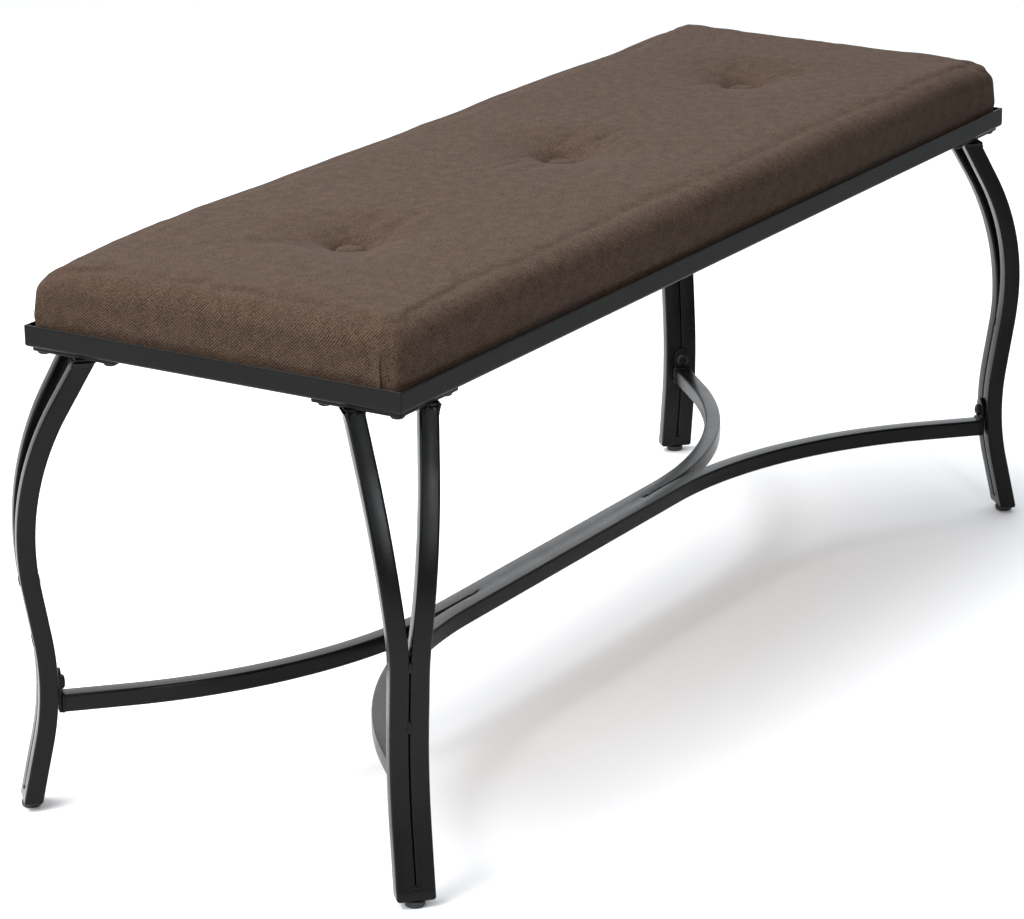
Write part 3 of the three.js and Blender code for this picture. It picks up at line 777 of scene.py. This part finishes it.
def top_beads(form, side, number):
    top = distance_at(PLATE_BOTTOM - 1 * MM)
    for place, length, radius in TOP_BEADS:
        line = []
        for t in np.linspace(0, 1, 7):
            middle = leg_centre(top - length * MM * (1 - t), side)
            line.append(middle + X * (TUBE * 0.53 + 1.6 * MM * t * t) + Y * TUBE * place)
        bead(form, resampled(line, 0.7 * MM), radius * MM, number + side * 3 + length)


def seam_beads(form, number):
    for height, length, radius, faces in SEAM_BEADS:
        middle = distance_at(height * MM)
        for face in faces:
            line = []
            for t in np.linspace(-length / 2, length / 2, 9):
                offset, z = leg_place(middle + t * MM)
                line.append([offset + face * (TUBE / 2 - 0.65 * MM), 0, z])
            bead(form, resampled(line, 0.6 * MM), radius * MM, number * 3 + height)


def corner_welds():
    """The welds at each corner: round the tubes' tops, in the pair's seam, at the foot, and at the tab."""
    tab_side, low = -TAB_FACE - TAB_THICKNESS - 0.5 * MM, STRETCHER_TOP - TUBE
    around_tab = [(tab_side, -TUBE / 2, low), (tab_side, -TUBE / 2, STRETCHER_TOP),
                  (tab_side, TUBE / 2, STRETCHER_TOP), (tab_side, TUBE / 2, low)]
    for number, corner in enumerate(CORNERS):
        form = Form()
        for side in (1, -1):
            flare(form, side, number)
            top_beads(form, side, number)
        seam_beads(form, number)
        bead(form, resampled(around_tab, 0.7 * MM), 1.7 * MM, number + 11)
        form.piece(f"welds_{corner}", "bench", "black_frame", PAINT, corner_turn(corner), sharp=80)


# The pad.

PAD_HALF_X, PAD_HALF_Y = HALF_LENGTH - 4.2 * MM, HALF_DEPTH - 4.2 * MM  # before it swells
PAD_FOOT_INSET = 0.6 * MM  # further in where it goes down into the rim
PAD_EDGE_TOP = 444 * MM
PAD_SHOULDER = 19 * MM
PAD_CROWN = 0.6 * MM
PAD_CORNER_TOP, PAD_CORNER_FOOT = 18 * MM, 5 * MM
CORNER_LIFTS = {
    "front_left": -2.5 * MM, "front_right": -3.5 * MM, "rear_right": 0.5 * MM, "rear_left": -4.5 * MM,
}
LIFT_REACH = 85 * MM
SIDE_ROWS = 11  # rows of points from the shoulder down to just above the rim
FOLD_LINE = HALF_DEPTH - 20 * MM  # where the folded corners' upright edges are
DIMPLE_FLOOR = 12.2 * MM
BOWL = 62 * MM
CREASES = [(-60, 1.0, 34), (118, 0.8, 38), (28, 0.15, 30), (205, 0.2, 30)]  # degrees, share, mm
SWELL_FRAMES = 20
SWELL_CAP = 3.5 * MM
HEM_INSET = 5.2 * MM
HEM = [(1.5 * MM, PAD_FOOT), (12 * MM, PAD_FOOT), (26 * MM, PAD_FOOT), (26.4 * MM, BOARD_BOTTOM + 0.6 * MM)]


def grid_lines(half, close_to):
    """Positions across the pad's top, between the 45 degree lines of its shoulders. They're closer together
    near the edges and near each (place, reach) in close_to."""
    shoulder = [half - PAD_SHOULDER * (1 - math.cos(a)) for a in np.linspace(QUARTER, math.pi / 2, 6)]
    flat = shoulder[-1]
    lines, here = [], -flat
    while here < flat - 1.5 * MM:
        lines.append(here)
        step = 3 * MM if flat - abs(here) < 30 * MM else 6 * MM
        if any(abs(here - place) < reach for place, reach in close_to):
            step = 2.4 * MM
        here += step
    return np.array([-x for x in shoulder] + lines[1:] + shoulder[::-1])


def pad_plan(x, y, half_x, half_y, radius):
    """Moves a place in a rectangle to the same one in that rectangle with round corners."""
    cx, cy = half_x - radius, half_y - radius
    if abs(x) <= cx or abs(y) <= cy:
        return x, y
    qx, qy = abs(x) - cx, abs(y) - cy
    part = max(qx, qy) / math.hypot(qx, qy)
    return math.copysign(cx + qx * part, x), math.copysign(cy + qy * part, y)


def edge_wave(x, y):
    """How the pad's edge rises and dips along its sides, and lifts or drops at its corners."""
    lift = 0
    for corner, (sx, sy) in CORNERS.items():
        away = math.hypot(PAD_HALF_X * sx - x, PAD_HALF_Y * sy - y)
        lift += CORNER_LIFTS[corner] * math.exp(-(away / LIFT_REACH) ** 2)
    near_edge = math.exp(-(min(PAD_HALF_X - abs(x), PAD_HALF_Y - abs(y)) / (60 * MM)) ** 2)
    slow = noise.noise(Vector((x / 0.17, y / 0.17, 1.7))) * 2.2 * MM
    quick = noise.noise(Vector((x / 0.06, y / 0.06, 5.1))) * 0.8 * MM
    return lift + near_edge * (slow + quick)


def dimple(x, y, centre, height):
    """How far a button pulls the pad's top down: a broad bowl, a steep lip, and the creases from it."""
    away = math.hypot(x - centre, y)
    if away > 2.6 * BOWL:
        return 0.0
    depth = height - (BUTTON_BASE - 0.3 * MM)
    out = max(0, away - DIMPLE_FLOOR)
    bowl = 0.45 * math.exp(-(out / (0.5 * BOWL)) ** 1.5) + 0.55 * math.exp(-(out / (6.5 * MM)) ** 1.2)
    crease = 0.0
    turn = math.degrees(math.atan2(y, x - centre))
    for angle, share, length in CREASES:
        off = (turn - angle - centre * 20 + 180) % 360 - 180
        across = away * math.sin(math.radians(min(90, abs(off))))
        along = math.exp(-(away / (length * MM)) ** 2) * min(1, away / (14 * MM))
        crease += 1.1 * MM * share * along * math.exp(-(across / (3.2 * MM)) ** 2)
    return depth * bowl + crease


def pad_height(x, y):
    """The pad's upper surface over a place in its plan rectangle."""
    from_edge = min(PAD_HALF_X - abs(x), PAD_HALF_Y - abs(y))
    short = max(0, PAD_SHOULDER - from_edge)
    fall = PAD_SHOULDER - math.sqrt(max(0, PAD_SHOULDER ** 2 - short ** 2))
    swell = (1 - (y / PAD_HALF_Y) ** 2) * (1 - (x / PAD_HALF_X) ** 4)
    height = PAD_EDGE_TOP - fall + PAD_CROWN * swell + edge_wave(x, y)
    height += noise.noise(Vector((x / 0.05, y / 0.05, 9.3))) * 0.45 * MM
    return height - sum(dimple(x, y, centre, height) for centre in BUTTON_X)


def pad_top(xs, ys):
    """The top's points, the number of each by its place in the grid, and which of them a button holds."""
    vertices, held, index = [], [], {}
    for i, x in enumerate(xs):
        for j, y in enumerate(ys):
            index[i, j] = len(vertices)
            vertices.append((*pad_plan(x, y, PAD_HALF_X, PAD_HALF_Y, PAD_CORNER_TOP), pad_height(x, y)))
            near_button = min(math.hypot(x - centre, y) for centre in BUTTON_X)
            held.append(near_button < DIMPLE_FLOOR + 1.5 * MM)
    return vertices, held, index


def pad_drops():
    """The levels down the pad's side from its shoulder: (distance in from the widest outline, height)."""
    side_top, over = PAD_EDGE_TOP - PAD_SHOULDER, RIM_TOP + 6 * MM
    drops = []
    for a in np.linspace(QUARTER, 0, 6)[1:]:
        drops.append((PAD_SHOULDER * (1 - math.cos(a)), side_top + PAD_SHOULDER * math.sin(a)))
    drops += [(0, side_top + (over - side_top) * t) for t in np.linspace(0, 1, 7)[1:]]
    drops += [(0.5 * PAD_FOOT_INSET, over - 2.2 * MM), (PAD_FOOT_INSET, over - 4.2 * MM)]
    drops += [(PAD_FOOT_INSET, z) for z in np.linspace(RIM_TOP - 2 * MM, PAD_FOOT, 4)]
    return drops


def side_point(x, y, on_end, level, w, z):
    """The point of the pad's side below a place on its top's border, tucked in at the ends' folds."""
    border = PAD_SHOULDER * (1 - math.cos(QUARTER))
    sx = np.clip(x / (PAD_HALF_X - border), -1, 1) * (PAD_HALF_X - w)
    sy = np.clip(y / (PAD_HALF_Y - border), -1, 1) * (PAD_HALF_Y - w)
    down = min(1, (level + 1) / SIDE_ROWS)
    radius = PAD_CORNER_TOP + (PAD_CORNER_FOOT - PAD_CORNER_TOP) * down
    px, py = pad_plan(sx, sy, PAD_HALF_X - w, PAD_HALF_Y - w, radius)
    follow = max(0, 1 - (level + 1) / (SIDE_ROWS - 1))
    if on_end and z > RIM_TOP + 3 * MM:
        tuck = math.exp(-((abs(y) - FOLD_LINE - 2 * MM) / (2.8 * MM)) ** 2) * (1 - follow)
        px -= math.copysign(2.2 * MM * tuck, px)
    return px, py, z + edge_wave(x, y) * follow


def pad_mesh():
    """The pad's top and sides as one open grid, with each point's place on the flat cloth in 'weave'."""
    xs = grid_lines(PAD_HALF_X, [(x, 32 * MM) for x in BUTTON_X])
    ys = grid_lines(PAD_HALF_Y, [(0, 32 * MM), (FOLD_LINE, 7 * MM), (-FOLD_LINE, 7 * MM)])
    nx, ny = len(xs), len(ys)
    vertices, held, index = pad_top(xs, ys)
    border = [(i, 0) for i in range(nx)] + [(nx - 1, j) for j in range(1, ny)]
    border += [(i, ny - 1) for i in range(nx - 2, -1, -1)] + [(0, j) for j in range(ny - 2, 0, -1)]
    rows = [[index[place] for place in border]]
    for level, (w, z) in enumerate(pad_drops()):
        rows.append(range(len(vertices), len(vertices) + len(border)))
        for i, j in border:
            vertices.append(side_point(xs[i], ys[j], i in (0, nx - 1), level, w, z))
            held.append(z <= RIM_TOP + 2.5 * MM)

    faces, places = [], []
    for i in range(nx - 1):
        for j in range(ny - 1):
            corners = [(i, j), (i + 1, j), (i + 1, j + 1), (i, j + 1)]
            faces.append([index[corner] for corner in corners])
            places.append([(xs[a], ys[b]) for a, b in corners])
    points = np.array(vertices)
    lengths = [0.0]
    middle = border.index((nx // 2, 0))
    for above, below in zip(rows, rows[1:]):
        lengths.append(lengths[-1] + float(np.linalg.norm(points[below[middle]] - points[above[middle]])))
    for level in range(len(rows) - 1):
        for k in range(len(border)):
            nxt = (k + 1) % len(border)
            faces.append((rows[level][k], rows[level + 1][k], rows[level + 1][nxt], rows[level][nxt]))
            on_long_side = border[k][1] == border[nxt][1] and border[k][1] in (0, ny - 1)
            corners = []
            for spot, depth in ((k, level), (k, level + 1), (nxt, level + 1), (nxt, level)):
                x, y = xs[border[spot][0]], ys[border[spot][1]]
                if on_long_side:
                    y += math.copysign(lengths[depth], y)
                else:
                    x += math.copysign(lengths[depth], x)
                corners.append((x, y))
            places.append(corners)
    mesh = bpy.data.meshes.new("pad_cover")
    mesh.from_pydata(vertices, [], faces)
    weave_places(mesh, [place for corners in places for place in corners])
    return mesh, held


def weave_places(mesh, places):
    """Gives each corner of a mesh's faces its place on the flat cloth."""
    weave = mesh.attributes.new("weave", "FLOAT_VECTOR", "CORNER")
    weave.data.foreach_set("vector", [value for place in places for value in (*place, 0.0)])


def simulate(pad, held):
    """Blows the pad's cloth up against its pinned foot and buttons, and keeps each point near its place."""
    rest = np.array([v.co for v in pad.data.vertices])
    group = pad.vertex_groups.new(name="held")
    group.add([i for i, fixed in enumerate(held) if fixed], 1.0, "REPLACE")
    cloth = pad.modifiers.new("cloth", "CLOTH")
    settings = cloth.settings
    settings.quality = 6
    settings.mass = 0.25
    settings.tension_stiffness = 18
    settings.compression_stiffness = 12
    settings.shear_stiffness = 8
    settings.bending_stiffness = 1.2
    settings.use_pressure = True
    settings.uniform_pressure_force = 4.0
    settings.vertex_group_mass = "held"
    settings.effector_weights.gravity = 0.0
    settings.shrink_min = -0.012
    cloth.point_cache.frame_start, cloth.point_cache.frame_end = 1, SWELL_FRAMES
    scene = bpy.context.scene
    scene.frame_start, scene.frame_end = 1, SWELL_FRAMES
    for step in range(1, SWELL_FRAMES + 1):
        scene.frame_set(step)
    graph = bpy.context.evaluated_depsgraph_get()
    blown = np.array([v.co for v in pad.evaluated_get(graph).data.vertices])
    pad.modifiers.remove(cloth)
    pad.vertex_groups.remove(group)
    scene.frame_set(1)
    move = blown - rest
    normals = np.array([v.normal for v in pad.data.vertices])
    sunk = np.minimum(0, (move * normals).sum(axis=1))
    move -= normals * (1.4 * sunk)[:, None]  # what sank in stands out a little instead
    size = np.linalg.norm(move, axis=1)
    away = np.min([np.hypot(rest[:, 0] - centre, rest[:, 1]) for centre in BUTTON_X], axis=0)
    cap = SWELL_CAP * np.clip((away - DIMPLE_FLOOR) / BOWL, 0.02, 1)
    share = np.where(size > 1e-9, cap * np.tanh(size / cap) / np.maximum(size, 1e-9), 1)
    pad.data.vertices.foreach_set("co", (rest + move * share[:, None]).ravel())


def pad_cover():
    mesh, held = pad_mesh()
    pad = bpy.data.objects.new("pad_cover", mesh)
    bpy.context.scene.collection.objects.link(pad)
    simulate(pad, held)
    finer = pad.modifiers.new("finer", "SUBSURF")
    finer.levels = finer.render_levels = 1
    graph = bpy.context.evaluated_depsgraph_get()
    smooth = bpy.data.meshes.new_from_object(pad.evaluated_get(graph))
    pad.modifiers.remove(finer)
    pad.data = smooth
    close_underneath(smooth)
    smooth.materials.append(CLOTH)
    smooth.shade_smooth()
    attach(pad, "bench")
    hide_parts("fabric_cover", "foam_pad")
    return pad


def close_underneath(mesh):
    """Turns the cloth in under the board as a hem, and closes the form just inside the board."""
    form = bmesh.new()
    form.from_mesh(mesh)
    weave = form.loops.layers.float_vector["weave"]
    rim = [edge for edge in form.edges if edge.is_boundary]
    for reach, height in HEM:
        made = bmesh.ops.extrude_edge_only(form, edges=rim)["geom"]
        for vertex in (v for v in made if isinstance(v, bmesh.types.BMVert)):
            x, y = vertex.co.x, vertex.co.y
            scale_x = (HALF_LENGTH - HEM_INSET - reach) / max(abs(x), 1e-9)
            scale_y = (HALF_DEPTH - HEM_INSET - reach) / max(abs(y), 1e-9)
            vertex.co = (x * min(1, scale_x), y * min(1, scale_y), height)
        rim = [e for e in made if isinstance(e, bmesh.types.BMEdge) and e.is_boundary]
    bmesh.ops.contextual_create(form, geom=rim)
    for face in form.faces:
        if all(v.co.z < PAD_FOOT + 3 * MM for v in face.verts):
            for loop in face.loops:
                loop[weave] = (loop.vert.co.x, loop.vert.co.y, 0)
    bmesh.ops.recalc_face_normals(form, faces=form.faces)
    form.to_mesh(mesh)
    form.free()


FOLD_LOW, FOLD_HIGH = RIM_TOP - 7 * MM, PAD_EDGE_TOP - 13 * MM
FOLD_WIDTH = 26 * MM
GATHERS_END = HALF_DEPTH - 8.5 * MM
GATHER_PITCH = 2.9 * MM


def over_height(u, t, z):
    """How far the folded layer stands off the pad: u runs across it to its edge, and t up it."""
    return (-0.3 + 2.1 * u ** 1.6 * (1 - t ** 2) + 0.7 * u ** 3 * (1 - t) ** 3) * MM


def gather_height(u, t, z):
    """How far the gathered layer beside the fold stands off the pad."""
    ripple = math.sin(2 * math.pi * z / GATHER_PITCH + 1.5 * u)
    return (0.1 + 0.3 * ripple * (1 - t) * math.sin(math.pi * min(1, u + 0.15)) - 0.4 * u * u) * MM


def fold_layer(form, surface, signs, seed, from_y, to_y, stand_off):
    """A layer of cloth on the pad's short side, between two distances from the bench's middle line."""
    sx, sy = signs
    rings = []
    for z in np.linspace(FOLD_LOW, FOLD_HIGH, 72):
        t = (z - FOLD_LOW) / (FOLD_HIGH - FOLD_LOW)
        lean = 0.9 * MM * noise.noise(Vector((t * 2.2, seed * 3.7, 0.4))) + 3 * MM * t ** 3
        front, back = [], []
        for u in np.linspace(0, 1, 14):
            y = sy * (from_y + (to_y - from_y) * u + lean)
            hit = surface.ray_cast(Vector((sx * 0.7, y, z)), Vector((-sx, 0, 0)))[0]
            hit = hit or surface.find_nearest(Vector((sx * HALF_LENGTH, y, z)))[0]
            front.append((sx * min(abs(hit.x) + stand_off(u, t, z), HALF_LENGTH - 1 * MM), y, z))
            back.append((hit.x - sx * 1.5 * MM, y, z))
        rings.append(front + back[::-1])
    form.loft(rings)


def corner_folds(pad):
    """The cloth folded over near each corner, on the pad's short sides. The fold's upright edge faces the
    corner, and the cloth between it and the corner lies lower and is gathered into small ribs."""
    points = [vertex.co for vertex in pad.data.vertices]
    surface = BVHTree.FromPolygons(points, [list(face.vertices) for face in pad.data.polygons])
    for number, (corner, signs) in enumerate(CORNERS.items()):
        form = Form()
        fold_layer(form, surface, signs, number, FOLD_LINE - FOLD_WIDTH, FOLD_LINE, over_height)
        fold_layer(form, surface, signs, number, FOLD_LINE - 1 * MM, GATHERS_END, gather_height)
        fold = form.piece(f"pad_fold_{corner}", "bench", "seat_fabric", CLOTH, sharp=60)
        places = []
        for loop in fold.data.loops:
            x, y, z = fold.data.vertices[loop.vertex_index].co
            beyond = abs(y) > FOLD_LINE + 0.3 * MM
            places.append((z, y) if beyond else (math.copysign(HALF_LENGTH - z, x), y))
        weave_places(fold.data, places)


def pad_buttons():
    skirt, rise = 1.4 * MM, BUTTON_TOP - BUTTON_BASE - 1.4 * MM
    profile = [(0, 0), (BUTTON_RADIUS * 0.8, 0), (BUTTON_RADIUS * 0.95, 0.5 * MM)]
    for angle in np.linspace(0, math.pi / 2, 11)[:-1]:
        profile.append((BUTTON_RADIUS * math.cos(angle) ** 0.62, skirt + rise * math.sin(angle)))
    profile.append((0, skirt + rise))
    for side, x in zip(BUTTON_SIDES, BUTTON_X):
        def gather(i, angle):
            return 1 + (0.012 * math.cos(14 * angle + x * 7) if i in (2, 3, 4) else 0)

        made = turned(Form(), profile, 56, gather).piece(
            f"pad_button_{side}", "bench", "button_fabric", BUTTON_CLOTH,
            Matrix.Translation((x, 0, BUTTON_BASE)), sharp=80)
        places = []
        for loop in made.data.loops:
            co = made.data.vertices[loop.vertex_index].co
            places.append((co.x * 0.92 + co.y * 0.39, co.y * 0.92 - co.x * 0.39))
        weave_places(made.data, places)
        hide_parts(f"button_{side}")


def kept_nodes():
    """The CAD nodes that stay get their finish."""
    looks = {"seat_board": PLYWOOD}
    for side in BUTTON_SIDES:
        looks[f"button_twine_{side}"] = TWINE
        looks[f"twine_washer_{side}"] = ZINC
    for name, material in looks.items():
        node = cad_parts[name]
        node.data.materials.clear()
        node.data.materials.append(material)


# The studio.

FLOOR_HALF = 30
PAINTED_SHADE_WAY = (0.413, -0.911, 0)  # painted shade: the floor's colour darkens smoothly this way, between two distances, so the black rails and tubes reflect a dark floor out to the front and right
PAINTED_SHADE_START, PAINTED_SHADE_END = 0.43, 0.85
LAMPS = [  # name, place, aim, size, watts, colour
    ("key", (-0.9, 0.9, 3.0), (0, 0, 0.2), (2.4, 2.4), 54, (0.98, 0.99, 1)),
    ("left", (-3.4, 0.9, 2.4), (0, 0, 0.3), (2.0, 2.0), 24, (0.98, 0.99, 1)),
    ("strip", (-1.7, -2.3, 1.3), (-0.5, -0.2, 0.3), (0.22, 1.5), 9, (0.85, 0.92, 1)),
]


def studio_floor():
    half = FLOOR_HALF
    corners = [(-half, -half, 0), (half, -half, 0), (half, half, 0), (-half, half, 0)]
    floor_mesh = bpy.data.meshes.new("floor")
    floor_mesh.from_pydata(corners, [], [(0, 1, 2, 3)])
    floor = bpy.data.objects.new("floor", floor_mesh)
    bpy.context.scene.collection.objects.link(floor)
    nodes = Nodes("pale_floor")
    tone = nodes.noise(object_place(nodes), 3.0, 3.0)
    # Painted shade: beyond a line the floor's colour turns dark grey. It stands in for lamplight falling
    # off there and darkens what the black paint reflects.
    away = nodes.add("ShaderNodeVectorMath", {0: object_place(nodes), 1: PAINTED_SHADE_WAY}, operation="DOT_PRODUCT")
    painted_shade = nodes.spread(away.outputs["Value"], PAINTED_SHADE_START, PAINTED_SHADE_END, 0, 1)
    pale = nodes.mix(tone, (0.9, 0.905, 0.915, 1), (0.925, 0.93, 0.94, 1))
    floor_colour = nodes.mix(painted_shade, pale, (0.4, 0.4, 0.4, 1))
    nodes.set(Base_Color=floor_colour, Roughness=0.8, Specular_IOR_Level=0.1)
    floor_mesh.materials.append(nodes.material)


def lobe(tree, direction, low, high):
    """A strength that follows the cosine from a direction. low and high are each (cosine, strength)."""
    dot = tree.nodes.new("ShaderNodeVectorMath")
    dot.operation = "DOT_PRODUCT"
    dot.inputs[1].default_value = Vector(direction).normalized()
    tree.links.new(tree.nodes.new("ShaderNodeTexCoord").outputs["Generated"], dot.inputs[0])
    ramp = tree.nodes.new("ShaderNodeMapRange")
    ramp.interpolation_type = "SMOOTHSTEP"
    limits = {"From Min": low[0], "From Max": high[0], "To Min": low[1], "To Max": high[1]}
    for key, value in limits.items():
        ramp.inputs[key].default_value = value
    tree.links.new(dot.outputs["Value"], ramp.inputs["Value"])
    return ramp.outputs["Result"]


def studio_world():
    """Soft light from all round: dim towards the front, with one brighter patch behind on the right."""
    world = bpy.data.worlds.new("studio")
    bpy.context.scene.world = world
    world.use_nodes = True
    tree = world.node_tree
    back = tree.nodes["Background"]
    both = tree.nodes.new("ShaderNodeMath")
    tree.links.new(lobe(tree, (-0.25, -0.95, -0.1), (-0.25, 1.15), (0.75, 0.1)), both.inputs[0])
    tree.links.new(lobe(tree, (0.8, 0.5, 0.3), (0.8, 0.0), (1.0, 0.9)), both.inputs[1])
    tree.links.new(both.outputs[0], back.inputs["Strength"])
    back.inputs["Color"].default_value = (0.93, 0.965, 1, 1)


def studio_lamps():
    for name, place, aim, (wide, tall), watts, tint in LAMPS:
        light = bpy.data.lights.new(name, "AREA")
        light.shape = "RECTANGLE"
        light.size, light.size_y = wide, tall
        light.energy = watts
        light.color = tint
        light.spread = math.radians(110)
        lamp = bpy.data.objects.new(name, light)
        lamp.location = place
        lamp.rotation_mode = "QUATERNION"
        lamp.rotation_quaternion = (Vector(aim) - Vector(place)).to_track_quat("-Z", "Y")
        bpy.context.scene.collection.objects.link(lamp)


CAMERA_PLACE = (-2.683445, -1.628229, 1.224225)
CAMERA_AZIMUTH, CAMERA_ELEVATION, CAMERA_ROLL = (math.radians(a) for a in (-57.941, 18.558, -0.622))
CAMERA_LENS, CAMERA_SENSOR = 134.41, 36


def camera():
    azimuth, elevation, roll = CAMERA_AZIMUTH, CAMERA_ELEVATION, CAMERA_ROLL
    right = Vector((math.cos(azimuth), math.sin(azimuth), 0))
    level = Vector((math.sin(azimuth), -math.cos(azimuth), 0))
    back = level * math.cos(elevation) + Vector((0, 0, math.sin(elevation)))
    up = back.cross(right)
    turned_right = right * math.cos(roll) + up * math.sin(roll)
    turned_up = up * math.cos(roll) - right * math.sin(roll)
    data = bpy.data.cameras.new("camera")
    data.sensor_width = CAMERA_SENSOR
    data.lens = CAMERA_LENS
    data.clip_start, data.clip_end = 0.1, 100
    made = bpy.data.objects.new("camera", data)
    bpy.context.scene.collection.objects.link(made)
    turn = Matrix((turned_right, turned_up, back)).transposed().to_4x4()
    made.matrix_world = Matrix.Translation(CAMERA_PLACE) @ turn
    bpy.context.scene.camera = made


camera()
rim_rails()
corner_plates()
screws()
leg_tubes()
foot_ends()
glides()
stretcher_tabs()
stretchers()
stretcher_seams()
corner_welds()
corner_folds(pad_cover())
pad_buttons()
kept_nodes()
studio_floor()
studio_world()
studio_lamps()
bpy.context.scene.view_settings.view_transform = "Standard"
bpy.context.scene.view_settings.look = "None"
